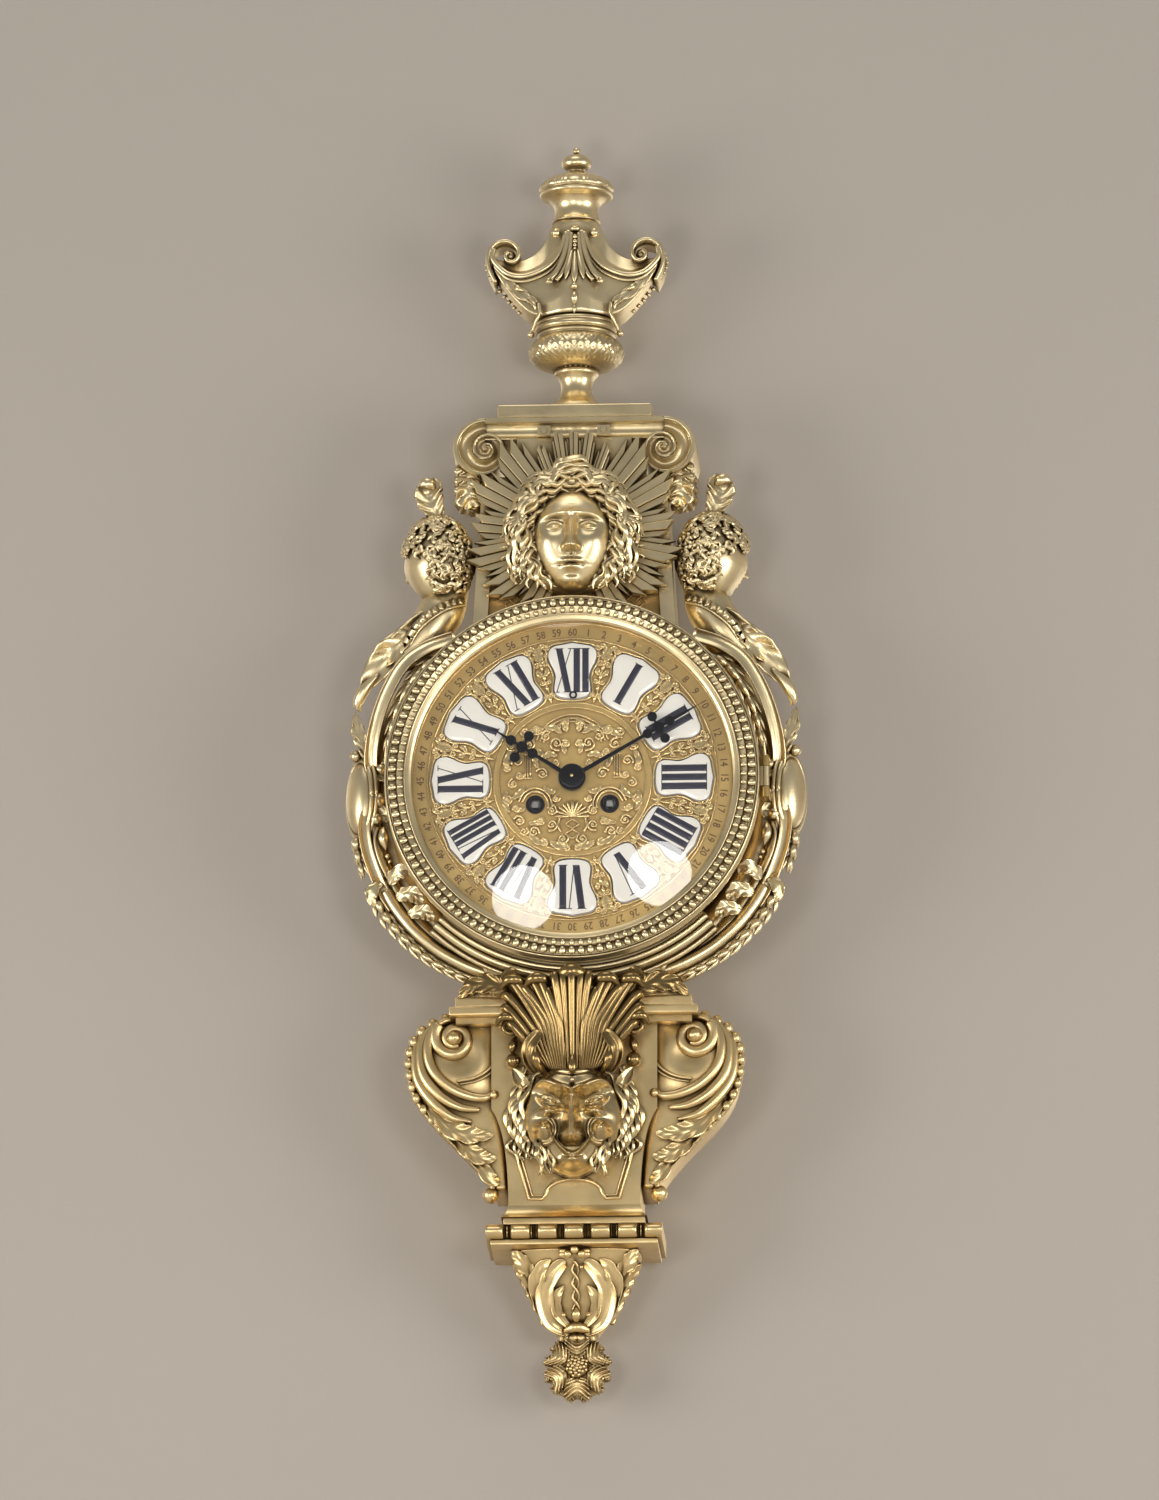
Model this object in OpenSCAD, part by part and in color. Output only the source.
// Cartel clock of gilt brass, hung on a wall by a plate behind its pedestal.
// Millimetres, +Z up, +Y into the wall, the origin in the middle of the hanging hole.
// A depth is counted forward from the wall, so a depth d lies at y = -d.
// Heights in the modules are counted from the dial centre, which at_dial() puts in its place.

/* [Placing] */
// Drop from the hanging hole to the dial centre
hang_drop = 200; // [197:1:203]
// Thickness of the two plates that rest on the wall
wall_plate_t = 3; // [2.5:0.5:4]
// Radius of the hanging hole
hang_hole_r = 5; // [4:0.5:6]
// Radius of the hole for the steadying screw
steady_hole_r = 2.5; // [2:0.25:3]

/* [Drum and bezel] */
// Outer radius of the drum
drum_r = 122; // [121:0.5:123]
// Wall of the drum
drum_wall = 4; // [3:0.5:4.5]
// Depth of the drum's front edge
drum_front = 90; // [88:1:92]
// Outer radius of the bezel
bezel_r = 132; // [131:0.5:132.5]
// Radius of the opening in the bezel
sight_r = 113; // [112:0.5:114]
// Front of the bezel's rim over the drum
bezel_h = 13; // [12:0.5:14]
// Number of beads round the bezel
bead_count = 120; // [90:2:120]
// Radius of one bead
bead_r = 2.7; // [2:0.1:2.9]
// Thickness of the domed glass
glass_t = 2.5; // [2:0.25:3]
// Rise of the glass over its edge
glass_rise = 20; // [19:1:24]
// Radius of the hinge pin
hinge_pin_r = 1.5; // [1.2:0.1:1.7]

/* [Dial and hands] */
// Thickness of the dial plate
dial_t = 2.5; // [2:0.25:3]
// Height of an enamel plaque over the dial
plaque_t = 2.5; // [1.5:0.25:2.75]
// Inner end of the plaques from the dial centre
plaque_in = 57.7; // [55:0.5:60]
// Outer end of the plaques from the dial centre
plaque_out = 99; // [97:0.5:101]
// Length of the hour hand
hour_len = 68; // [60:1:72]
// Length of the minute hand
minute_len = 103; // [95:1:106]
// Thickness of the hands
hand_t = 1.2; // [1:0.1:1.3]
// Sideways place of the winding squares
winding_x = 26; // [25.5:0.5:26.5]
// Drop of the winding squares under the dial centre
winding_drop = 18; // [17.5:0.5:18.5]

/* [Movement] */
// Radius of the movement plates
plate_r = 55; // [54:0.5:58]
// Thickness of the movement plates
plate_t = 3; // [2.5:0.25:3.5]
// Clear space between the plates
plate_gap = 37; // [37:0.5:39]
// Radius of the spring barrels
barrel_r = 21; // [20:0.25:21.5]
// Length from the suspension to the middle of the bob
pendulum_len = 248; // [240:1:252]
// Radius of the pendulum bob
bob_r = 20; // [17:0.5:22]
// Radius of the bell
bell_r = 32; // [30:0.5:33]

/* [Case] */
// Depth of the pedestal's front face
pedestal_front = 70; // [68:1:72]
// Half width of the pedestal under the capital
pedestal_top_w = 64.5; // [63:0.5:66]
// Half width of the pedestal beside the drum
pedestal_low_w = 73; // [71:0.5:74]
// Height of the pedestal's shoulders over the dial centre
pedestal_h = 226.5; // [225:0.5:228]
// Wall of the hollow castings
case_wall = 4; // [3:0.5:5]
// Radius of a capital volute
volute_r = 22; // [21:0.25:22.5]
// Half width of the capital
capital_w = 85.4; // [84:0.5:88]
// Half width of the block under the urn
plinth_w = 54; // [50:1:58]
// Height of the block under the urn
plinth_h = 10; // [8:0.5:12]
// Depth of the urn's axis
urn_axis = 38; // [36:1:40]
// Half width of the urn over its scroll ends
urn_w = 62.5; // [60:0.5:65]
// Height of the sunburst's centre over the dial centre
sun_z = 182; // [180:1:184]
// Height of the sun mask's lower edge over the dial centre
mask_low = 133.5; // [133:0.5:136]
// Depth of the console's front face
console_front = 68; // [66:1:70]
// Height of the cornice's underside under the dial centre
cornice_low = 171; // [170:0.5:173]
// Height of the console block's underside under the dial centre
console_low = 310; // [308:1:312]
// Half width of the console block under the cornice
console_top_w = 58; // [56:0.5:60]
// Half width of the console block at its foot
console_low_w = 46; // [45:0.5:48]
// Radius of the big console volutes
scroll_r = 31; // [29:0.5:32]
// Radius of the rosette
rosette_r = 20.3; // [18:0.5:22]

/* [Hidden] */
$fn = 96;

// Colours of the metals and the enamel
gilt = [0.76, 0.68, 0.46];
gilt_warm = [0.72, 0.58, 0.31];
brass = [0.74, 0.6, 0.3];
steel = [0.55, 0.56, 0.58];
blued = [0.1, 0.1, 0.12];
enamel = [0.93, 0.91, 0.87];

// Clearances: between castings, between bodies that move, and round a running pivot
cast_gap = 0.2;
move_gap = 0.4;
run_gap = 0.05;

// Depths of the dial and the movement
cast_back = wall_plate_t;
dial_back = drum_front - 1;
dial_face = dial_back + dial_t;
plaque_face = dial_face + plaque_t;
pan_t = 2;
pan_front = dial_back - 7;
pan_back = pan_front - pan_t;
front_in = pan_back - plate_t;
back_in = front_in - plate_gap;
back_out = back_in - plate_t;
hour_hand_d = plaque_face + 1;
minute_hand_d = hour_hand_d + hand_t + 1.2;
hub_r = 9.5;
cannon_r = 2.88;

// Depths of the wheels over the back plate's inner face
great_d = back_in + 3;
great_t = 3;
barrel_h = 23;
inter_d = back_in + 28;
centre_d = back_in + 32;
third_d = back_in + 16;
escape_d = back_in + 8;
wheel_t = 2;

// Teeth: counts and modules of each mesh
great_n = 80;
great_m = 0.6;
leaf_n = 12;
inter_n = 72;
inter_m = 0.5;
centre_n = 100;
centre_m = 0.36;
fine_leaf_n = 10;
third_n = 120;
third_m = 0.28;
escape_n = 30;
escape_r = 9.6;
pin_n = 72;
pin_m = 0.45;
cannon_n = 12;
minute_n = 36;
motion_m = 0.5;
hour_pinion_n = 10;
hour_n = 40;

// Places of the arbors, [x, z] from the dial centre
function mesh(n1, n2, m) = (n1 + n2) * m / 2;
function meet(p, r, q, s) =
    let (v = q - p, d = norm(v), a = (r * r - s * s + d * d) / (2 * d), h = sqrt(r * r - a * a))
    p + v * a / d + [-v[1], v[0]] * h / d;
function towards(p, angle, length) = p + length * [cos(angle), sin(angle)];
function angle_to(p, q) = atan2(q[1] - p[1], q[0] - p[0]);
centre_p = [0, 0];
going_p = [winding_x, -winding_drop];
strike_p = [-winding_x, -winding_drop];
inter_p = meet(centre_p, mesh(inter_n, leaf_n, inter_m), going_p, mesh(great_n, leaf_n, great_m));
third_p = [0, mesh(centre_n, fine_leaf_n, centre_m)];
escape_p = third_p + [0, mesh(third_n, fine_leaf_n, third_m)];
anchor_p = escape_p + [0, 13];
pin_p = towards(strike_p, 80, mesh(great_n, leaf_n, great_m));
fly_p = towards(pin_p, 110, mesh(pin_n, fine_leaf_n, pin_m));
motion_p = [0, mesh(cannon_n, minute_n, motion_m)];
hammer_p = [-47, 12];
bell_p = [-16, -6];
hour_m = 2 * motion_p[1] / (hour_pinion_n + hour_n);
arbor_r = 1.6;
slim_arbor_r = 1.1;
pivot_r = 1;
centre_arbor_r = 2;
winding_arbor_r = 3;
winding_pivot_r = 2.5;
wheel_arbors = [inter_p, third_p, escape_p, pin_p, fly_p];
pillar_places = [for (a = [32, 148, 258, 282]) towards(centre_p, a, plate_r - 5)];

// A tooth of the first wheel points at first_phase; this puts a gap of the second wheel there
function mesh_phase(p1, n1, first_phase, p2, n2) =
    let (a = angle_to(p1, p2)) a + 180 + (a - first_phase) * n1 / n2 + 180 / n2;
inter_phase = mesh_phase(going_p, great_n, 0, inter_p, leaf_n);
centre_leaf_phase = mesh_phase(inter_p, inter_n, inter_phase, centre_p, leaf_n);
third_phase = mesh_phase(centre_p, centre_n, centre_leaf_phase, third_p, fine_leaf_n);
escape_phase = mesh_phase(third_p, third_n, third_phase, escape_p, fine_leaf_n);
pin_phase = mesh_phase(strike_p, great_n, 0, pin_p, leaf_n);
fly_phase = mesh_phase(pin_p, pin_n, pin_phase, fly_p, fine_leaf_n);
motion_phase = mesh_phase(centre_p, cannon_n, centre_leaf_phase, motion_p, minute_n);
hour_phase = mesh_phase(motion_p, hour_pinion_n, motion_phase, centre_p, hour_n);

// Heights of the case, counted from the dial centre
bar_low = pedestal_h + volute_r + 6;
capital_top = pedestal_h + 2 * volute_r;
urn_base = capital_top + plinth_h;
bowl_base = urn_base + 58;
lid_base = bowl_base + 82;
rod_r = 3;
ray_t = 9;
mask_back = pedestal_front + ray_t;
cornice_front = console_front + 6;
gadroon_low = console_low + 20;
tail_low = gadroon_low + 54;
rosette_z = -(tail_low + 4 + rosette_r);
frame_mid = 46;
screw_r = 1.5;

// Helpers

// Puts its children at the dial centre
module at_dial() {
    translate([0, 0, -hang_drop]) children();
}

// A plate cut to a front view outline, from depth d0 to depth d1
module slab(d0, d1) {
    translate([0, -d0, 0]) rotate([90, 0, 0]) linear_extrude(d1 - d0) children();
}

// A solid turned about an axis square to the dial; its profile holds [radius, depth]
module turned(p = [0, 0]) {
    translate([p[0], 0, p[1]]) rotate([90, 0, 0]) rotate_extrude() children();
}

// A round bar square to the dial, from depth d0 to depth d1
module bar(p, r, d0, d1) {
    translate([p[0], -d0, p[1]]) rotate([90, 0, 0]) cylinder(r = r, h = d1 - d0);
}

// A copy on the other side of the middle plane
module other_side() {
    mirror([1, 0, 0]) children();
}

function middle(loop) = [for (k = [0:2]) let (s = [for (p = loop) p[k]]) s * [for (v = s) 1] / len(s)];
function mesh_volume(points, faces) =
    let (v = [for (f = faces) points[f[0]] * cross(points[f[1]], points[f[2]])]) v * [for (x = v) 1];

// A closed solid skinned over a row of loops with equal counts of points
module loft(loops) {
    n = len(loops[0]);
    m = len(loops);
    points = concat([for (loop = loops) each loop], [middle(loops[0]), middle(loops[m - 1])]);
    sides = [for (i = [0:m - 2], j = [0:n - 1])
        let (k = (j + 1) % n)
        each [[i * n + j, (i + 1) * n + k, i * n + k], [i * n + j, (i + 1) * n + j, (i + 1) * n + k]]];
    ends = [for (j = [0:n - 1])
        let (k = (j + 1) % n, last = (m - 1) * n)
        each [[m * n, j, k], [m * n + 1, last + k, last + j]]];
    faces = concat(sides, ends);
    outward = mesh_volume(points, faces) > 0;
    polyhedron(points, outward ? [for (f = faces) [f[0], f[2], f[1]]] : faces);
}

// A relief with a flat back; half_width(t) and rise(x, t) are its outline and its height, t from 0 to 1
module relief(low, high, back, half_width, rise, rows = 22, columns = 20) {
    loft([for (i = [0:rows])
        let (t = i / rows, z = low + (high - low) * t, w = half_width(t))
        concat([for (j = [0:columns]) let (x = w * (2 * j / columns - 1)) [x, -(back + rise(x, t)), z]],
            [for (j = [0:3]) [w * (1 - 2 * j / 3), -back, z]])]);
}

function bump(x, z, width, height) = exp(-pow(x / width, 2) - pow(z / height, 2));
function smooth(t) = t * t * (3 - 2 * t);
function mix(a, b, t) = a + (b - a) * t;
function arc(p, r, a0, a1, steps = 16) = [for (i = [0:steps]) towards(p, mix(a0, a1, i / steps), r)];
function bend(a, b, c, steps = 12) =
    [for (i = [0:steps]) let (t = i / steps) a * pow(1 - t, 2) + b * 2 * t * (1 - t) + c * t * t];
function mirrored(points) = concat(points, [for (i = [len(points) - 1:-1:0]) [-points[i][0], points[i][1]]]);

// Value at x of a line through the points [x, value], smoothed between them
function along(points, x) =
    let (last = len(points) - 1,
        i = max(concat([0], [for (k = [0:last - 1]) if (x >= points[k][0]) k])),
        a = points[i], b = points[i + 1])
    mix(a[1], b[1], smooth(min(1, max(0, (x - a[0]) / (b[0] - a[0])))));

// Outline of a gear with short straight-flanked teeth, one tooth at the angle phase
module gear(n, m, phase) {
    rp = n * m / 2;
    pressure = 25;
    slack = 0.05 + 0.06 * m;
    tip = rp + 0.7 * m;
    root = rp - 1.0 * m;
    half = 90 / n - slack / rp * 57.3 / 2;
    tip_half = half - 0.7 * m * tan(pressure) / rp * 57.3;
    root_half = half + min(0.9 * m * tan(pressure) / rp * 57.3, 90 / n * 0.45);
    polygon([for (i = [0:n - 1])
        let (a = phase + 360 * i / n)
        each [towards([0, 0], a - root_half, root), towards([0, 0], a - tip_half, tip),
            towards([0, 0], a + tip_half, tip), towards([0, 0], a + root_half, root)]]);
}

// A toothed wheel on an arbor at p, with round windows between its arms
module wheel(p, n, m, phase, d, t, arms = 5) {
    rim = n * m / 2 - 2.2 - m;
    window = (rim - 4.5) / 2;
    translate([p[0], 0, p[1]]) difference() {
        slab(d, d + t) gear(n, m, phase);
        for (i = [0:arms - 1])
            bar(towards([0, 0], 360 * i / arms + phase, 4.5 + window), window, d - 1, d + t + 1);
    }
}

// An arbor between the plates with a pivot in each
module arbor(p, r = arbor_r) {
    bar(p, r, back_in + move_gap, front_in - move_gap);
    bar(p, pivot_r, back_out, pan_back);
}

// Case

// The pedestal starts inside the drum's outline, which then cuts it to fit
pedestal_low = sqrt(pow(drum_r, 2) - pow(pedestal_low_w, 2)) - 8;
module pedestal_outline(extra = 0) {
    neck = capital_w - 2 * volute_r - 1;
    polygon(mirrored([[pedestal_low_w + extra, pedestal_low], [pedestal_top_w + extra, pedestal_h],
        [neck, pedestal_h], [neck, bar_low]]));
}

function pedestal_half(z) =
    mix(pedestal_low_w, pedestal_top_w, (z - pedestal_low) / (pedestal_h - pedestal_low));

ledge_in = drum_r - drum_wall - 10;
pan_r = drum_r - drum_wall - 0.4;
pan_screw_r = (ledge_in + pan_r) / 2;
pan_screws = [for (a = [45:90:315]) towards([0, 0], a, pan_screw_r)];

module drum() color(gilt_warm) at_dial() difference() {
    turned() polygon([[drum_r - drum_wall, cast_back], [drum_r, cast_back], [drum_r, drum_front],
        [drum_r - drum_wall, drum_front], [drum_r - drum_wall, pan_back], [ledge_in, pan_back],
        [ledge_in, pan_back - 6], [drum_r - drum_wall, pan_back - 6]]);
    translate([-30, -52, -drum_r - 2]) cube([60, 52, 30]);
    for (p = pan_screws) bar(p, screw_r + run_gap, pan_back - 7, pan_back + 1);
}

window_in = 10;
hang_z = hang_drop;
hang_half_h = 14;
hang_screws = [for (s = [-1, 1], z = [-8, 8]) [s * (pedestal_half(hang_z) - case_wall - 3), hang_z + z]];

module upper_pedestal() color(gilt) at_dial() difference() {
    slab(cast_back, pedestal_front) pedestal_outline();
    difference() {
        slab(cast_back - 1, pedestal_front - case_wall) intersection() {
            pedestal_outline(-case_wall);
            translate([-100, 0]) square([200, bar_low - case_wall]);
        }
        for (p = hang_screws) bar(p, 4.5, cast_back, cast_back + 9);
    }
    slab(cast_back - 1, pedestal_front + 1) circle(drum_r + cast_gap);
    slab(pedestal_front - case_wall - 1, pedestal_front + 1) intersection() {
        pedestal_outline(-window_in);
        translate([-100, 0]) square([200, pedestal_h - window_in]);
    }
    for (p = hang_screws) bar(p, screw_r + run_gap, cast_back - 1, cast_back + 8);
    translate([0, -urn_axis, bar_low - case_wall - 1]) cylinder(r = rod_r + cast_gap, h = case_wall + 2);
}

module trellis_panel() color(gilt_warm) at_dial() difference() {
    slab(pedestal_front - case_wall - 3, pedestal_front - case_wall) difference() {
        intersection() {
            pedestal_outline(-window_in + 4);
            translate([-100, 0]) square([200, pedestal_h - window_in + 4]);
        }
        circle(drum_r + cast_gap);
    }
    for (i = [-7:7], j = [0:13])
        let (x = i * 7.5, z = drum_r + 2 + 7 * j)
        if ((i + j) % 2 == 0 && abs(x) < pedestal_top_w - 20
            && norm([x, z]) > drum_r + 8 && z < pedestal_h - 16)
            translate([x, 0, z]) rotate([0, 45, 0])
                translate([-2.6, -pedestal_front, -2.6]) cube([5.2, 20, 5.2]);
}

module volute_groove() {
    turns = 460;
    steps = 46;
    function radius(a, inset) = (volute_r - 3.5 - inset) * (1 - 0.6 * a / turns) - (a > 360 ? 0.4 : 0);
    polygon(concat([for (i = [0:steps]) let (a = turns * i / steps) towards([0, 0], 90 - a, radius(a, 0))],
        [for (i = [steps:-1:0]) let (a = turns * i / steps)
            towards([0, 0], 90 - a, radius(a, 5.2 * (1 - 0.5 * a / turns)))]));
}

module capital() color(gilt) at_dial() {
    eye_x = capital_w - volute_r;
    eye_z = pedestal_h + volute_r;
    difference() {
        slab(cast_back, pedestal_front) union() {
            translate([-eye_x, bar_low]) square([2 * eye_x, capital_top - bar_low]);
            for (s = [-1, 1]) translate([s * eye_x, eye_z]) circle(volute_r);
        }
        for (s = [0, 1]) mirror([s, 0, 0]) translate([eye_x, 0, eye_z])
            slab(pedestal_front - 3, pedestal_front + 1) volute_groove();
        translate([-eye_x, -pedestal_front - 1, capital_top - 3.5 - 5.2]) cube([2 * eye_x, 4, 5.2]);
        translate([0, -urn_axis, bar_low - 1]) cylinder(r = rod_r + cast_gap, h = capital_top - bar_low + 2);
        for (s = [-1, 1]) bar([s * eye_x, eye_z], volute_r - case_wall, 0, pedestal_front - 8);
    }
}

module urn_plinth() color(gilt) at_dial() difference() {
    translate([-plinth_w, -pedestal_front + 4, capital_top])
        cube([2 * plinth_w, pedestal_front - 4 - 10, plinth_h]);
    translate([0, -urn_axis, capital_top - 1]) cylinder(r = rod_r + cast_gap, h = plinth_h + 2);
}

module urn_turned(z, profile) {
    translate([0, -urn_axis, z]) difference() {
        rotate_extrude() polygon(profile);
        translate([0, 0, -1]) cylinder(r = rod_r + cast_gap, h = 200);
    }
}

module urn_foot() color(gilt) at_dial() urn_turned(urn_base, concat(
    [[0, 0], [20, 0], [20, 3]], bend([18, 4], [11, 6], [11, 18]), bend([11, 19], [11, 27], [14, 27]),
    [[15, 28], [15, 31], [16, 32]], bend([18, 32], [32, 33], [33.5, 43]),
    bend([33.5, 44], [33, 54], [27, 55]),
    [[27, 58], [0, 58]]));

// Lower and upper edge of the bowl as seen from the front, over the half width as 0 to 1
bowl_under = [[0, 0], [0.42, 3], [0.58, 12], [0.8, 33], [0.95, 45], [1, 50]];
bowl_over = [[0, 56], [0.3, 70], [0.45, 62], [0.62, 54], [0.78, 60], [0.9, 64], [0.97, 60], [1, 54]];
function bowl_loop(x) =
    let (u = abs(x) / urn_w, under = along(bowl_under, u), over = along(bowl_over, u),
        depth = 8 + 24 * sqrt(max(0, 1 - pow(u, 3))))
    [for (a = [0:20:340]) [x, -urn_axis + depth * cos(a), bowl_base + (under + over) / 2
        + (over - under) / 2 * sin(a)]];

module urn_bowl() color(gilt) at_dial() difference() {
    union() {
        loft([for (i = [-20:20]) bowl_loop(urn_w * i / 20)]);
        translate([0, -urn_axis, bowl_base]) rotate_extrude()
            polygon(concat([[0, 0], [26, 0], [26, 6], [20, 50]],
                bend([19, 62], [15.5, 66], [15.5, lid_base - bowl_base]), [[0, lid_base - bowl_base]]));
    }
    translate([0, -urn_axis, bowl_base - 1]) cylinder(r = rod_r + cast_gap, h = 200);
}

knob_low = 35;
module urn_lid() color(gilt) at_dial() translate([0, -urn_axis, lid_base]) difference() {
    rotate_extrude() polygon(concat([[0, 0], [16, 0]], bend([16, 4], [17, 15], [24, 19]),
        [[25, 20], [25, 22]], bend([24, 23], [20, 34], [6, knob_low]), [[6, 37], [5, 38]],
        [for (a = [-60:20:60]) [10.5 * cos(a), 44.5 + 6.5 * sin(a)]],
        [[3, 51], [2.6, 53], [1.4, 55], [0, 56]]));
    translate([0, 0, -1]) cylinder(r = rod_r + cast_gap, h = 31);
}

module urn_tie_rod() color(steel) at_dial() translate([0, -urn_axis, 0]) {
    nut_top = bar_low - case_wall;
    translate([0, 0, nut_top - 9]) cylinder(r = rod_r, h = lid_base + 29 - nut_top + 9);
    translate([0, 0, nut_top - 5]) difference() {
        cylinder(r = 6, h = 5, $fn = 6);
        translate([0, 0, -1]) cylinder(r = rod_r + 0.02, h = 7);
    }
}

// Rays: [angle, half angle, reach], bundles of flat strips round the mask
ray_short = 68;
ray_long = 77;
ray_tip = 4;
ray_reach = ray_long + ray_tip;
rays = [for (a = [0:15:345]) [a, 6.2, mix(ray_short, ray_long, pow(cos(4 * a), 2))]];
module sunburst() color(gilt) at_dial() difference() {
    translate([0, 0, sun_z]) slab(pedestal_front, mask_back) polygon([for (r = rays)
        each [towards([0, 0], r[0] - 7, 34), towards([0, 0], r[0] - r[1], r[2]),
            towards([0, 0], r[0] + r[1] - 3, r[2] + ray_tip), towards([0, 0], r[0] + 7, 34)]]);
    slab(pedestal_front - 1, mask_back + 1) circle(bezel_r + 1.5);
}

mask_top = sun_z + 50;
function sun_half(t) = 6 + 44 * pow(max(0, 1 - pow(abs(t - 0.52) / 0.53, 2.4)), 0.5);
function sun_rise(x, t) =
    let (z = (mask_top - mask_low) * (t - 0.44))
    3 + 20 * pow(max(0, 1 - pow(x / (sun_half(t) + 1), 2)), 0.5) * pow(max(0, sin(180 * t)), 0.4)
    + 14 * bump(x, z, 27, 34) + 9 * bump(x, z + 3, 5, 11) + 3 * bump(x, z - 14, 26, 6)
    + 2 * cos(x * 26 + z * 7) * (1 - bump(x, z, 26, 33));
module sun_mask() color(gilt) at_dial() relief(mask_low, mask_top, mask_back,
    function(t) sun_half(t), function(x, t) sun_rise(x, t), 30, 26);

lug_x = 21;
lug_z = bar_low + 4;
module mask_lugs() color(gilt) at_dial() for (s = [-1, 1]) translate([lug_x * s, 0, lug_z]) {
    translate([-4.5, -pedestal_front - 6, -3.5]) cube([9, 6, 7]);
    bar([0, 0], 2, pedestal_front + 6, pedestal_front + 7.2);
}

// Leaf-wrapped rolls under the capital at the sides of the pedestal
bolster_h = 28;
module pedestal_bolsters() color(gilt) at_dial() for (s = [0, 1]) mirror([s, 0, 0]) difference() {
    loft([for (i = [0:14])
        let (t = i / 14, z = pedestal_h - 1 - bolster_h * t,
            w = 4 + 15 * pow(1 - t, 0.7) + 1.2 * cos(1080 * t))
        [for (a = [0:20:340]) [pedestal_half(z) + 2 + w * cos(a), -36 + 26 * (1 - 0.5 * t) * sin(a), z]]]);
    slab(0, pedestal_front + 1) pedestal_outline(cast_gap);
}

// Side heads: [height, middle x, half width, middle depth, half depth] up the neck, head and plume
head_low = 84;
head_stations = [[head_low, -126, 12, 52, 12], [98, -121, 13, 58, 15], [108, -114, 19, 60, 18],
    [119, -106, 20, 62, 18], [129, -101, 14, 63, 15], [136, -101, 17, 64, 18], [145, -101, 22, 64, 22],
    [156, -99, 26, 64, 25], [170, -97, 27.5, 63, 27], [184, -96, 25.5, 62, 26], [195, -97, 18, 62, 18],
    [201, -100, 10, 62, 11], [210, -104, 9, 63, 9], [219, -106, 8, 66, 7], [226, -106, 3, 68, 3]];
module side_head() difference() {
    loft([for (i = [0:len(head_stations) - 1])
        let (s = head_stations[i])
        [for (a = [0:15:345]) [s[1] + s[2] * cos(a), -s[3] + s[4] * sin(a), s[0]]]]);
    slab(0, 120) pedestal_outline(cast_gap);
    slab(0, 120) circle(bezel_r + 2);
    translate([0, 0, sun_z]) slab(pedestal_front - cast_gap, 120) circle(ray_reach + 2 * cast_gap);
}
module head_left() color(gilt) at_dial() side_head();
module head_right() color(gilt) at_dial() other_side() side_head();

// Side frames: inner and outer edge over the angle from +X, with lugs that reach the drum
frame_start = 134;
frame_end = 244;
frame_inner = [[134, 137], [145, 137.5], [153, drum_r + cast_gap], [157, drum_r + cast_gap],
    [163, 137], [176, 134], [181, drum_r + cast_gap], [186, drum_r + cast_gap], [191, 135], [205, 139],
    [212, drum_r + cast_gap], [217, drum_r + cast_gap], [224, 140], [240, 140], [246, 143]];
frame_outer = [[134, 152], [152, 151.5], [165, 151], [171, 157], [180, 163.5], [189, 157],
    [195, 151], [204, 155], [218, 160], [234, 160], [246, 148]];
frame_half_d = [[134, 15], [150, 17], [166, 16], [172, 19], [181, 20], [190, 19], [200, 17], [225, 15],
    [246, 8]];
function frame_loop(a) =
    let (r0 = along(frame_inner, a), r1 = along(frame_outer, a), h = along(frame_half_d, a),
        mid = (r0 + r1) / 2, w = (r1 - r0) / 2)
    [for (b = [0:30:330]) let (r = mid + w * cos(b)) [r * cos(a), -frame_mid + h * sin(b), r * sin(a)]];
module side_frame() difference() {
    loft([for (a = [frame_start:2:frame_end]) frame_loop(a)]);
    slab(0, 120) circle(drum_r + cast_gap);
    translate([-200, -100, head_low - cast_gap]) cube([150, 100, 60]);
}
module side_frame_left() color(gilt) at_dial() side_frame();
module side_frame_right() color(gilt) at_dial() other_side() side_frame();

// Console

module console_outline(inset = 0) {
    polygon(mirrored(concat([[console_top_w - inset, -cornice_low - inset]],
        bend([console_top_w - inset, -cornice_low - 60], [console_low_w - inset, -console_low + 62],
            [console_low_w - inset, -console_low + 6]), [[console_low_w - inset, -console_low]])));
}

neck_w = 60;
module console_cornice() color(gilt_warm) at_dial() difference() {
    slab(cast_back, cornice_front) polygon(mirrored([[neck_w, -100], [neck_w, -cornice_low + 28],
        [neck_w + 11, -cornice_low + 24], [neck_w + 15.6, -cornice_low + 13],
        [neck_w + 19, -cornice_low + 13], [neck_w + 19, -cornice_low + 6.5],
        [neck_w + 22.6, -cornice_low + 6.5], [neck_w + 22.6, -cornice_low]]));
    slab(0, cornice_front + 1) circle(drum_r + cast_gap);
    translate([-48, -52, -cornice_low - 1]) cube([96, 53, 80]);
}

steady_z = -console_low + 20;
steady_half_w = console_low_w - case_wall + 2;
steady_screws = [for (s = [-1, 1]) [s * (console_low_w - case_wall - 3), steady_z]];

module console_block() color(gilt_warm) at_dial() difference() {
    slab(cast_back, console_front) console_outline();
    difference() {
        slab(cast_back - 1, console_front - case_wall) console_outline(case_wall);
        for (p = steady_screws) bar(p, 4.5, cast_back, cast_back + 9);
    }
    translate([-48, -52, -cornice_low - 5]) cube([96, 60, 10]);
    for (p = steady_screws) bar(p, screw_r + run_gap, cast_back - 1, cast_back + 8);
}

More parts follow.
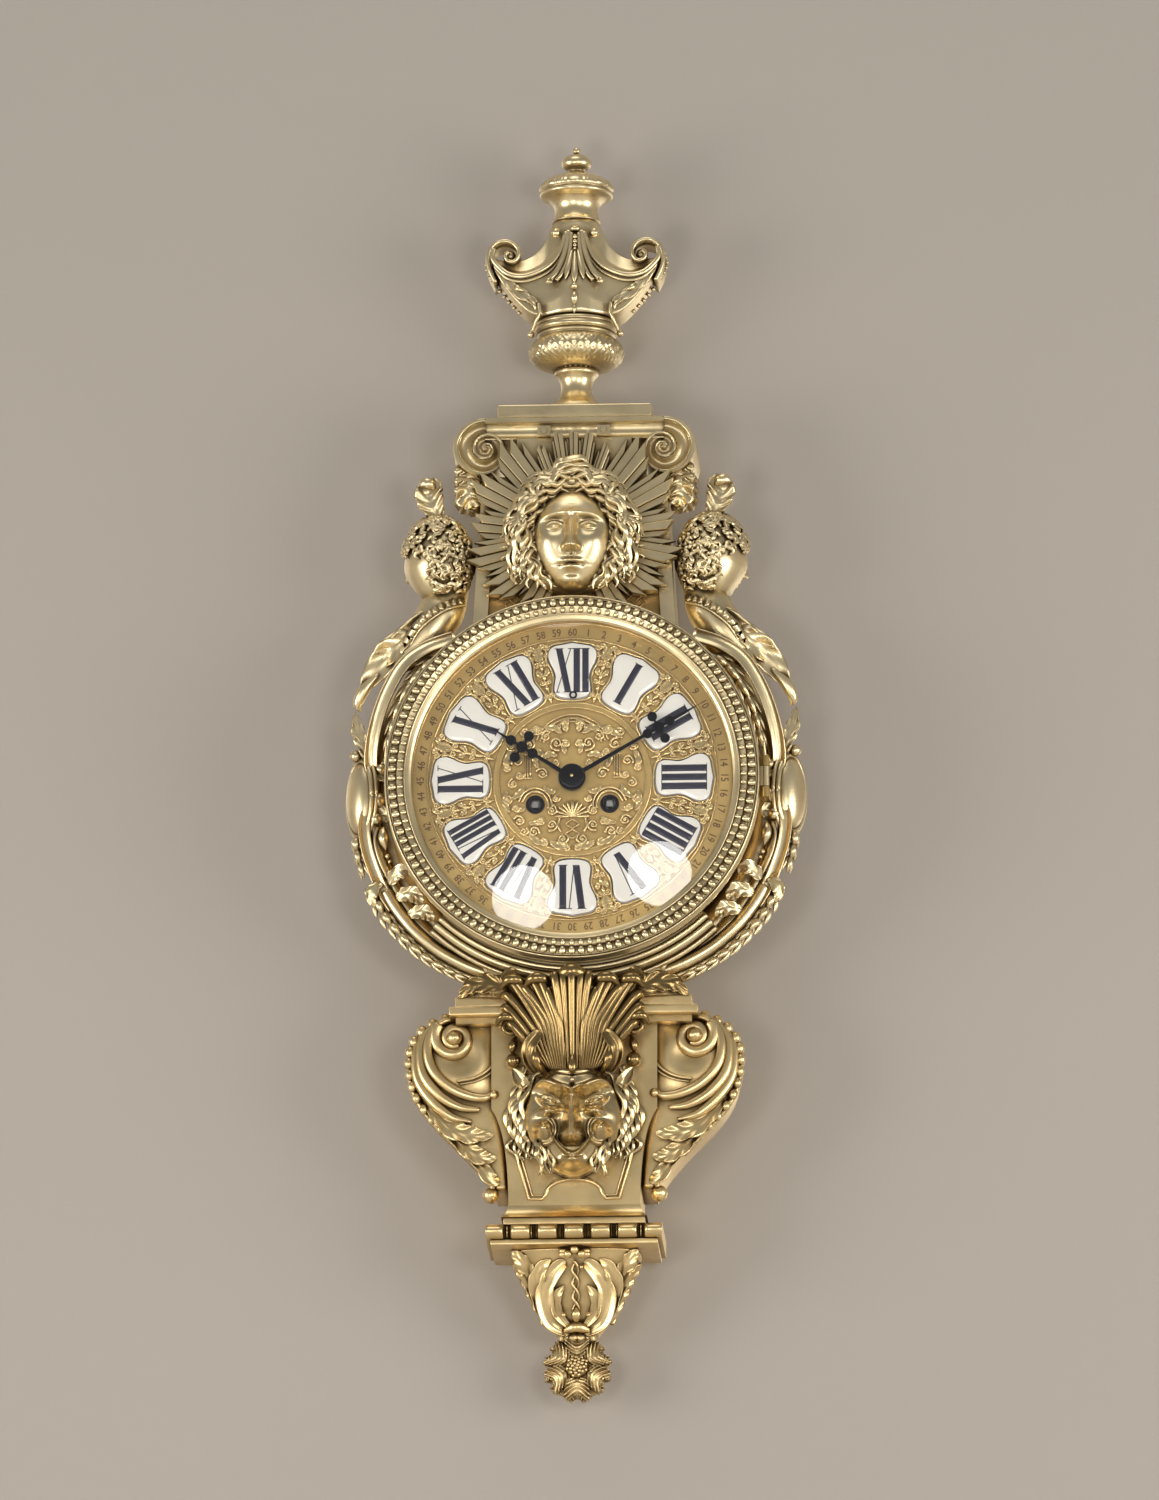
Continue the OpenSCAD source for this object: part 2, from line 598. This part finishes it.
scroll_p = [-(console_top_w + 24), -cornice_low - 1 - scroll_r];
ball_p = [-(console_low_w + 12), -console_low + 20];
module console_volute() {
    heel = towards(scroll_p, 196, scroll_r);
    difference() {
        slab(10, console_front - 6) union() {
            translate(scroll_p) circle(scroll_r);
            polygon(concat(bend(heel, [heel[0] + 8, scroll_p[1] - 42], ball_p + [-6, 4]), [ball_p + [0, -6]],
                [[-console_low_w + 2, -console_low + 14], [-console_top_w + 4, -cornice_low - 4],
                    [scroll_p[0], scroll_p[1] + scroll_r - 1]]));
            translate(ball_p) circle(5.6);
        }
        slab(0, 120) console_outline(-cast_gap);
        bar(scroll_p, scroll_r - case_wall - 2, 0, console_front - 16);
        translate([scroll_p[0], 0, scroll_p[1]]) slab(console_front - 10, console_front)
            difference() {
                circle(scroll_r - 6);
                circle(9);
            }
    }
}
module console_volute_left() color(gilt_warm) at_dial() console_volute();
module console_volute_right() color(gilt_warm) at_dial() other_side() console_volute();

crest_low = -cornice_low - 34;
crest_high = -bezel_r - 13;
function crest_half(t) = 15 + 30 * smooth(t) - 5 * pow(max(0, t - 0.85) / 0.15, 2) + 2 * cos(900 * t);
function crest_rise(x, t) =
    let (a = atan2(x, 20 + 60 * t))
    4 + 20 * sin(120 * t + 30) * (1 - 0.6 * pow(x / crest_half(t), 2)) + 3 * cos(a * 14);
module leaf_crest() color(gilt_warm) at_dial() relief(crest_low, crest_high, cornice_front,
    function(t) crest_half(t), function(x, t) crest_rise(x, t), 22, 24);

satyr_low = -console_low + 22;
satyr_high = crest_low - 1;
function satyr_half(t) = 9 + 36 * pow(max(0, 1 - pow(abs(t - 0.62) / 0.63, 2.2)), 0.55);
function satyr_rise(x, t) =
    let (z = (satyr_high - satyr_low) * (t - 0.55))
    3 + 18 * pow(max(0, 1 - pow(x / (satyr_half(t) + 1), 2)), 0.5) * pow(max(0, sin(170 * t + 5)), 0.4)
    + 14 * bump(x, z, 24, 26) + 13 * bump(x, z - 2, 6, 12) + 5 * bump(abs(x) - 13, z - 12, 9, 5)
    + 4 * bump(abs(x) - 15, z + 4, 7, 8);
module satyr_mask() color(gilt_warm) at_dial() relief(satyr_low, satyr_high, console_front,
    function(t) satyr_half(t), function(x, t) satyr_rise(x, t), 28, 26);

gadroon_w = 59;
module gadroon_moulding() color(gilt_warm) at_dial() {
    slab(cast_back, console_front + 4) translate([-47, -console_low - 5]) square([94, 5]);
    translate([-gadroon_w, -cast_back, 0]) rotate([90, 0, 90]) linear_extrude(2 * gadroon_w)
        polygon(concat([[0, -console_low - 5]], [for (a = [90:-20:-90])
            [-(console_front + 2 - cast_back) - 7 * cos(a), -console_low - 10.5 + 5.5 * sin(a)]],
            [[0, -console_low - 16]]));
    slab(cast_back, console_front + 5) translate([-55, -gadroon_low]) square([110, 4]);
}

// Half width and depth of the tail bracket down its height
tail_half = [[0, 45.5], [0.06, 44], [0.28, 32], [0.6, 26], [0.85, 22], [1, 15.5]];
tail_depth = [[0, 62], [0.1, 60], [0.4, 42], [0.8, 34], [1, 26]];
module tail_bracket() color(gilt_warm) at_dial() loft([for (i = [0:24])
    let (t = i / 24, w = along(tail_half, t), d = along(tail_depth, t), z = -mix(gadroon_low, tail_low, t))
    concat([[-w, -cast_back, z], [w, -cast_back, z]],
        [for (a = [0:20:180]) [w * cos(a), -cast_back - (d - cast_back) * (0.45 + 0.55 * sin(a)), z]])]);

module rosette() color(gilt_warm) at_dial() {
    translate([0, 0, rosette_z]) {
        slab(10, 20) polygon([for (a = [0:5:355]) towards([0, 0], a, rosette_r - 1.6 + 1.6 * cos(8 * a))]);
        turned() polygon(concat([[0, 20], [14, 20]], [for (a = [20:10:90]) [9 * cos(a), 20 + 9 * sin(a)]]));
    }
    translate([-7, -20, -tail_low - 6]) cube([14, 10, 6]);
}

// Wall plates and screws

module screw_holes(places, back) {
    for (p = places) {
        bar(p, screw_r + run_gap, back - 1, back + 20);
        bar(p, 3.1, back - 1, back + 1.5);
    }
}

module hanging_plate() color(steel) at_dial() difference() {
    slab(0, wall_plate_t) translate([-pedestal_half(hang_z) + 1, hang_z - hang_half_h])
        square([2 * pedestal_half(hang_z) - 2, 2 * hang_half_h]);
    bar([0, hang_z], hang_hole_r, -1, wall_plate_t + 1);
    screw_holes(hang_screws, 0);
}

module steady_plate() color(steel) at_dial() difference() {
    slab(0, wall_plate_t) translate([-steady_half_w, steady_z - 9]) square([2 * steady_half_w, 18]);
    bar([0, steady_z], steady_hole_r, -1, wall_plate_t + 1);
    screw_holes(steady_screws, 0);
}

module case_screws() color(steel) at_dial() {
    for (p = concat(hang_screws, steady_screws)) {
        bar(p, 3, 0.1, 1.5);
        bar(p, screw_r, 1.5, cast_back + 7.5);
    }
    for (p = pan_screws) {
        bar(p, screw_r, pan_back - 6, pan_front);
        bar(p, 3, pan_front, pan_front + 1.5);
    }
}

// Dial

module dial_pan() color(brass) at_dial() difference() {
    slab(pan_back, pan_front) difference() {
        circle(pan_r);
        circle(plate_r - 7);
    }
    for (p = pan_screws) bar(p, screw_r + run_gap, pan_back - 1, pan_front + 1);
}

dial_r = drum_r - drum_wall - 0.6;
hour_pipe_r = 4.2;
module dial_plate() color(gilt_warm) at_dial() {
    difference() {
        union() {
            slab(dial_back, dial_face) circle(dial_r);
            turned() polygon([[plaque_in - 6.5, dial_face], [plaque_in - 2.5, dial_face],
                [plaque_in - 2.5, dial_face + 0.8], [plaque_in - 6.5, dial_face + 0.8]]);
        }
        bar(centre_p, hour_pipe_r + 0.5, dial_back - 1, dial_face + 2);
        for (p = [going_p, strike_p]) bar(p, 4.4, dial_back - 1, dial_face + 2);
    }
    for (a = [45:90:315]) bar(towards([0, 0], a, 80), 2.5, pan_front, dial_back);
}

function plaque_half(t) = mix(12.9, 17.8, smooth(t)) * (1 - 0.1 * pow(sin(180 * t), 4))
    * pow(max(0, 1 - pow(abs(2 * t - 1), 5)), 0.5);
module enamel_plaques() color(enamel) at_dial() for (h = [0:11]) rotate([0, 30 * h, 0])
    slab(dial_face, plaque_face) polygon(mirrored([for (i = [0:20])
        let (t = (1 - cos(9 * i)) / 2) [max(0.01, plaque_half(t)), mix(plaque_in, plaque_out, t)]]));

// Movement frame

module plate_holes(d0, d1) {
    for (p = wheel_arbors) bar(p, pivot_r + run_gap, d0, d1);
    for (p = [going_p, strike_p]) bar(p, winding_pivot_r + run_gap, d0, d1);
    bar(centre_p, centre_arbor_r + run_gap, d0, d1);
    bar(hammer_p, pivot_r + run_gap, d0, d1);
}

module front_plate() color(brass) at_dial() difference() {
    slab(front_in, pan_back) circle(plate_r);
    plate_holes(front_in - 1, pan_back + 1);
    bar(anchor_p, pivot_r + run_gap, front_in - 1, pan_back + 1);
    bar(motion_p, pivot_r, front_in - 1, pan_back + 1);
}

module back_plate() color(brass) at_dial() difference() {
    slab(back_out, back_in) circle(plate_r);
    plate_holes(back_out - 1, back_in + 1);
    bar(anchor_p, pivot_r + run_gap, back_out - 1, back_in + 1);
}

module plate_pillars() color(brass) at_dial() for (p = pillar_places) turned(p) polygon(concat(
    [[0, back_in], [4, back_in], [4, back_in + 3]], bend([3, back_in + 4], [2, (back_in + front_in) / 2],
        [3, front_in - 4]), [[4, front_in - 3], [4, front_in], [0, front_in]]));

cock_low = anchor_p[1] + 6;
pendulum_d = 30;
module suspension_cock() color(brass) at_dial() {
    for (s = [-1, 1]) translate([s * 12 - 2.5, -back_out, anchor_p[1] - 7]) cube([5, 4, 13]);
    translate([-14.5, -back_out, cock_low]) cube([29, back_out - pendulum_d + 4, 5]);
}

bell_rim_d = 25;
module bell() color(brass) at_dial() turned(bell_p) polygon(concat(
    [[3.05, 7], [3.05, 5], [12, 5]], bend([14, 5], [bell_r - 3, 6], [bell_r, bell_rim_d], 16),
    [[bell_r - 2, bell_rim_d]], bend([bell_r - 2.2, bell_rim_d - 1], [bell_r - 5, 8], [12, 7], 16)));

module bell_stand() color(steel) at_dial() {
    bar(bell_p, 3, 3, 8);
    bar(bell_p, 4.5, 7, back_out);
}

// Bezel

hinge_x = bezel_r + 3.4;
hinge_d = drum_front + 3;
knuckle_r = hinge_pin_r + 1;
knuckle_half = 7;
bezel_back = drum_front + 0.3;
bezel_front = drum_front + bezel_h;
bead_ring_r = bezel_r - 6;
bead_d = bezel_front - 1.5;
channel_r = bead_r + 0.1;
glass_seat_r = sight_r + 2.5;
glass_edge_d = bezel_back + 6;

// A round bar along Z at the hinge, from z0 to z1
module upright(r, z0, z1) {
    translate([hinge_x, -hinge_d, z0]) cylinder(r = r, h = z1 - z0);
}

module bezel_hinge() color(brass) at_dial() {
    difference() {
        for (s = [0, 1]) mirror([0, 0, s]) {
            upright(knuckle_r, knuckle_half + move_gap, 2 * knuckle_half + 1);
            translate([drum_r + cast_gap + 0.6, -hinge_d + 2.2, knuckle_half + move_gap])
                cube([hinge_x + knuckle_r - drum_r - cast_gap - 0.6, 12, knuckle_half + 1 - move_gap]);
        }
        upright(hinge_pin_r + 0.02, -30, 30);
        slab(0, drum_front) circle(drum_r + cast_gap);
        slab(drum_front, drum_front + 20) circle(bezel_r + move_gap);
        upright(knuckle_r + 0.3, -knuckle_half - move_gap, knuckle_half + move_gap);
    }
    upright(hinge_pin_r, -2 * knuckle_half - 1, 2 * knuckle_half + 1);
}

module bezel_ring() color(gilt) at_dial() difference() {
    union() {
        turned() polygon(concat([[glass_seat_r + 2.6, bezel_back], [bezel_r, bezel_back],
            [bezel_r, bezel_back + 3], [bezel_r - 1.5, bezel_back + 5], [bezel_r - 2.4, bead_d],
            each arc([bead_ring_r, bead_d], channel_r, 0, -180), [bead_ring_r - 3.2, bead_d]],
            bend([bead_ring_r - 3.2, bezel_front], [bead_ring_r - 6, bezel_front - 1],
                [sight_r + 1.5, glass_edge_d + glass_t + 1.5]),
            [[sight_r, glass_edge_d + glass_t + 0.5], [sight_r, glass_edge_d + glass_t],
                [glass_seat_r, glass_edge_d + glass_t], [glass_seat_r, glass_edge_d - 1],
                [glass_seat_r + 2.6, glass_edge_d - 1]]));
        translate([bezel_r - 2, -bezel_back - 4.5, -knuckle_half])
            cube([hinge_x - bezel_r + 2, 3.5, 2 * knuckle_half]);
        upright(knuckle_r, -knuckle_half, knuckle_half);
    }
    upright(hinge_pin_r + run_gap, -20, 20);
}

// Beads lie in a round channel of the bezel
module bead_ring() color(gilt) at_dial() for (i = [0:bead_count - 1])
    let (p = towards([0, 0], 360 * i / bead_count, bead_ring_r))
    translate([p[0], -bead_d, p[1]]) sphere(bead_r);

function glass_profile(edge_d, r) =
    let (ball = (r * r + glass_rise * glass_rise) / (2 * glass_rise))
    [for (i = [0:24]) let (x = r * i / 24) [x, edge_d + glass_rise - ball + sqrt(ball * ball - x * x)]];
module glass() color([0.85, 0.9, 0.9, 0.4]) at_dial() turned() polygon(concat(
    glass_profile(glass_edge_d + glass_t, glass_seat_r - 2.6),
    [[glass_seat_r - 0.2, glass_edge_d + glass_t - 0.1], [glass_seat_r - 0.2, glass_edge_d]],
    [for (i = [24:-1:0]) glass_profile(glass_edge_d, glass_seat_r - 2.6)[i]]));

module glass_ring() color(brass) at_dial() turned() polygon([[sight_r, glass_edge_d - 2.6],
    [glass_seat_r + 2.5, glass_edge_d - 2.6], [glass_seat_r + 2.5, glass_edge_d - 1.05],
    [glass_seat_r - 0.1, glass_edge_d - 1.05], [glass_seat_r - 0.1, glass_edge_d], [sight_r, glass_edge_d]]);

// Hands, drawn upright and turned to ten past ten

module hand(d, length, cross_at, ball, bore_r) {
    difference() {
        union() {
            bar(centre_p, hub_r, d, d + hand_t);
            slab(d, d + hand_t) polygon([[-1.6, 0], [-1, cross_at], [-0.9, length - 12], [0, length],
                [0.9, length - 12], [1, cross_at], [1.6, 0]]);
            for (p = [[0, -9], [0, 9], [-9, 0], [9, 0]]) bar([0, cross_at] + p, ball, d, d + hand_t);
            bar([0, cross_at], 4, d, d + hand_t);
            slab(d, d + hand_t) translate([-9, cross_at - 0.8]) square([18, 1.6]);
        }
        bar(centre_p, bore_r, d - 1, d + hand_t + 1);
    }
}
module minute_hand() color(blued) at_dial() rotate([0, 60, 0])
    hand(minute_hand_d, minute_len, 70, 3.4, cannon_r);
module hour_hand() color(blued) at_dial() rotate([0, 303, 0])
    hand(hour_hand_d, hour_len, 42, 3.6, hour_pipe_r);

// Trains

module centre_wheel() color(brass) at_dial() {
    difference() {
        wheel(centre_p, centre_n, centre_m, centre_leaf_phase, centre_d, wheel_t);
        bar(centre_p, centre_arbor_r, centre_d - 1, centre_d + wheel_t + 1);
    }
    slab(inter_d - 0.5, inter_d + wheel_t + 0.5) gear(leaf_n, inter_m, centre_leaf_phase);
    bar(centre_p, centre_arbor_r, back_out, minute_hand_d + hand_t + 2.6);
    slab(pan_back + 3, pan_back + 6.4) gear(cannon_n, motion_m, centre_leaf_phase);
    bar(centre_p, cannon_r, pan_back + 6.4, minute_hand_d + hand_t);
    bar(centre_p, 4, minute_hand_d + hand_t, minute_hand_d + hand_t + 1.4);
}

hour_d = dial_back - 1.8;
module hour_wheel() color(brass) at_dial() difference() {
    union() {
        slab(hour_d, hour_d + 1.3) gear(hour_n, hour_m, hour_phase);
        bar(centre_p, hour_pipe_r, hour_d, hour_hand_d + hand_t);
    }
    bar(centre_p, cannon_r + run_gap, hour_d - 1, hour_hand_d + 4);
}

module minute_wheel() color(brass) at_dial() {
    translate([motion_p[0], 0, motion_p[1]]) {
        slab(pan_back + 3.5, pan_back + 5.5) gear(minute_n, motion_m, motion_phase);
        slab(pan_back + 5.5, hour_d + 1.3) gear(hour_pinion_n, hour_m, motion_phase);
    }
    bar(motion_p, pivot_r - run_gap, front_in, hour_d + 1.6);
}

module barrel(p) {
    difference() {
        union() {
            translate([p[0], 0, p[1]]) slab(great_d, great_d + great_t) gear(great_n, great_m, 0);
            bar(p, barrel_r, great_d, great_d + barrel_h);
        }
        bar(p, barrel_r - 1.5, great_d + great_t, great_d + barrel_h - 1.5);
        bar(p, winding_arbor_r + run_gap, great_d - 1, great_d + barrel_h + 1);
    }
    difference() {
        bar(p, barrel_r - 1.5, great_d + great_t + 0.5, great_d + barrel_h - 2);
        bar(p, barrel_r - 9, great_d + great_t, great_d + barrel_h);
    }
}
module going_barrel() color(brass) at_dial() barrel(going_p);
module strike_barrel() color(brass) at_dial() barrel(strike_p);

// Winding arbor with its ratchet in front of the plate and its square in the dial's hole
module winding_arbor(p) {
    bar(p, winding_arbor_r, back_in + move_gap, front_in - move_gap);
    bar(p, winding_pivot_r, back_out, pan_back + 0.6);
    translate([p[0], 0, p[1]]) {
        slab(pan_back + 0.6, pan_back + 2.6) polygon([for (i = [0:19])
            each [towards([0, 0], 18 * i, 8.5), towards([0, 0], 18 * i + 2, 7)]]);
        slab(pan_back + 2.6, dial_face + 0.4) square(4.2, center = true);
    }
}
module going_arbor() color(steel) at_dial() winding_arbor(going_p);
module strike_arbor() color(steel) at_dial() winding_arbor(strike_p);

module intermediate_wheel() color(brass) at_dial() {
    difference() {
        wheel(inter_p, inter_n, inter_m, inter_phase, inter_d, wheel_t);
        bar(inter_p, arbor_r, inter_d - 1, inter_d + wheel_t + 1);
    }
    translate([inter_p[0], 0, inter_p[1]]) slab(great_d - 0.5, great_d + great_t + 0.5)
        gear(leaf_n, great_m, inter_phase);
    arbor(inter_p);
}

module third_wheel() color(brass) at_dial() {
    difference() {
        wheel(third_p, third_n, third_m, third_phase, third_d, wheel_t - 0.4);
        bar(third_p, slim_arbor_r, third_d - 1, third_d + wheel_t + 1);
    }
    translate([third_p[0], 0, third_p[1]]) slab(centre_d - 0.5, centre_d + wheel_t + 0.5)
        gear(fine_leaf_n, centre_m, third_phase);
    arbor(third_p, slim_arbor_r);
}

module escape_wheel() color(brass) at_dial() {
    translate([escape_p[0], 0, escape_p[1]]) {
        slab(escape_d, escape_d + 1.2) polygon([for (i = [0:escape_n - 1])
            let (a = 360 * i / escape_n)
            each [towards([0, 0], a, escape_r), towards([0, 0], a + 4, escape_r - 1.6),
                towards([0, 0], a + 9, escape_r - 1.6)]]);
        slab(third_d - 0.5, third_d + wheel_t) gear(fine_leaf_n, third_m, escape_phase);
    }
    arbor(escape_p, slim_arbor_r);
}

// The pallets stay clear of the escape wheel's tips over the whole swing
pallet_in = escape_r + 1.4;
crutch_d = back_out - 5;
module pallet_anchor() color(steel) at_dial() {
    translate([escape_p[0], 0, escape_p[1]]) slab(escape_d - 0.4, escape_d + 1.6) union() {
        polygon(concat(arc([0, 0], pallet_in, 28, 152, 20), arc([0, 0], pallet_in + 2, 152, 28, 20)));
        translate(anchor_p - escape_p) circle(2.4);
    }
    bar(anchor_p, arbor_r, back_in + move_gap, front_in - move_gap);
    bar(anchor_p, pivot_r, crutch_d, pan_back);
    slab(crutch_d, crutch_d + 1.5) union() {
        translate(anchor_p) circle(2.4);
        translate([-1.2, anchor_p[1] - 44]) square([2.4, 44]);
        translate([-3, anchor_p[1] - 44]) square([6, 3]);
    }
    for (s = [-1, 1]) bar([s * 2.3, anchor_p[1] - 42.5], 0.7, pendulum_d - 2, crutch_d);
}

bob_z = anchor_p[1] - pendulum_len;
module pendulum() color(brass) at_dial() {
    translate([-2.5, -pendulum_d - 0.3, anchor_p[1] - 8]) cube([5, 0.6, 13.6]);
    translate([-2.5, -pendulum_d - 1.5, anchor_p[1] - 12]) cube([5, 3, 4]);
    translate([0, -pendulum_d, bob_z - bob_r - 8])
        cylinder(r = 1.2, h = anchor_p[1] - 12 - bob_z + bob_r + 8);
    turned([0, bob_z]) polygon(concat([[0, pendulum_d - 6], [2, pendulum_d - 6]],
        bend([4, pendulum_d - 5.8], [bob_r - 3, pendulum_d - 4.5], [bob_r, pendulum_d - 0.5]),
        bend([bob_r, pendulum_d + 0.5], [bob_r - 3, pendulum_d + 4.5], [4, pendulum_d + 5.8]),
        [[2, pendulum_d + 6], [0, pendulum_d + 6]]));
    translate([0, -pendulum_d, bob_z - bob_r - 4]) cylinder(r = 4, h = 3);
}

module pin_wheel() color(brass) at_dial() {
    difference() {
        wheel(pin_p, pin_n, pin_m, pin_phase, inter_d, wheel_t);
        bar(pin_p, arbor_r, inter_d - 1, inter_d + wheel_t + 1);
    }
    for (i = [0:9]) bar(towards(pin_p, pin_phase + 36 * i, pin_n * pin_m / 2 - 2), 0.7, inter_d + wheel_t,
        inter_d + wheel_t + 1.6);
    translate([pin_p[0], 0, pin_p[1]]) slab(great_d - 0.5, great_d + great_t + 0.5)
        gear(leaf_n, great_m, pin_phase);
    arbor(pin_p);
}

module fly() color(brass) at_dial() {
    translate([fly_p[0], 0, fly_p[1]]) slab(inter_d - 0.5, inter_d + wheel_t + 0.5)
        gear(fine_leaf_n, pin_m, fly_phase);
    arbor(fly_p);
    difference() {
        translate([fly_p[0] - 9, -back_in - 24, fly_p[1] - 0.3]) cube([18, 16, 0.6]);
        bar(fly_p, arbor_r, back_in, front_in);
    }
}

// The hammer's arm hangs behind the plate, and its head stands just off the bell's rim
hammer_head_p = towards(bell_p, 195, bell_r + 3.7);
hammer_d = 17;
module hammer() color(steel) at_dial() {
    tail_x = pin_p[0] - pin_n * pin_m / 2 - 1;
    bar(hammer_p, arbor_r, back_in + move_gap, front_in - move_gap);
    bar(hammer_p, pivot_r, hammer_d - 3, pan_back);
    slab(hammer_d - 1, hammer_d + 1) polygon([hammer_p + [-1.5, 1.5], hammer_p + [1.5, 1.5],
        hammer_head_p + [1, 0], hammer_head_p + [-1, 0]]);
    bar(hammer_head_p, 3, hammer_d - 4, hammer_d + 4);
    slab(inter_d + wheel_t + 0.2, inter_d + wheel_t + 1.6) polygon([hammer_p + [0, -1.5],
        hammer_p + [0, 1.5], [tail_x, pin_p[1] + 1], [tail_x, pin_p[1] - 1]]);
}

drum();
upper_pedestal();
trellis_panel();
capital();
urn_plinth();
urn_foot();
urn_bowl();
urn_lid();
urn_tie_rod();
sunburst();
sun_mask();
mask_lugs();
pedestal_bolsters();
head_left();
head_right();
side_frame_left();
side_frame_right();
console_cornice();
console_block();
console_volute_left();
console_volute_right();
leaf_crest();
satyr_mask();
gadroon_moulding();
tail_bracket();
rosette();
hanging_plate();
steady_plate();
case_screws();
dial_pan();
dial_plate();
enamel_plaques();
front_plate();
back_plate();
plate_pillars();
suspension_cock();
bell();
bell_stand();
bezel_hinge();
bezel_ring();
bead_ring();
glass();
glass_ring();
minute_hand();
centre_wheel();
hour_hand();
hour_wheel();
minute_wheel();
going_barrel();
strike_barrel();
going_arbor();
strike_arbor();
intermediate_wheel();
third_wheel();
escape_wheel();
pallet_anchor();
pendulum();
pin_wheel();
fly();
hammer();
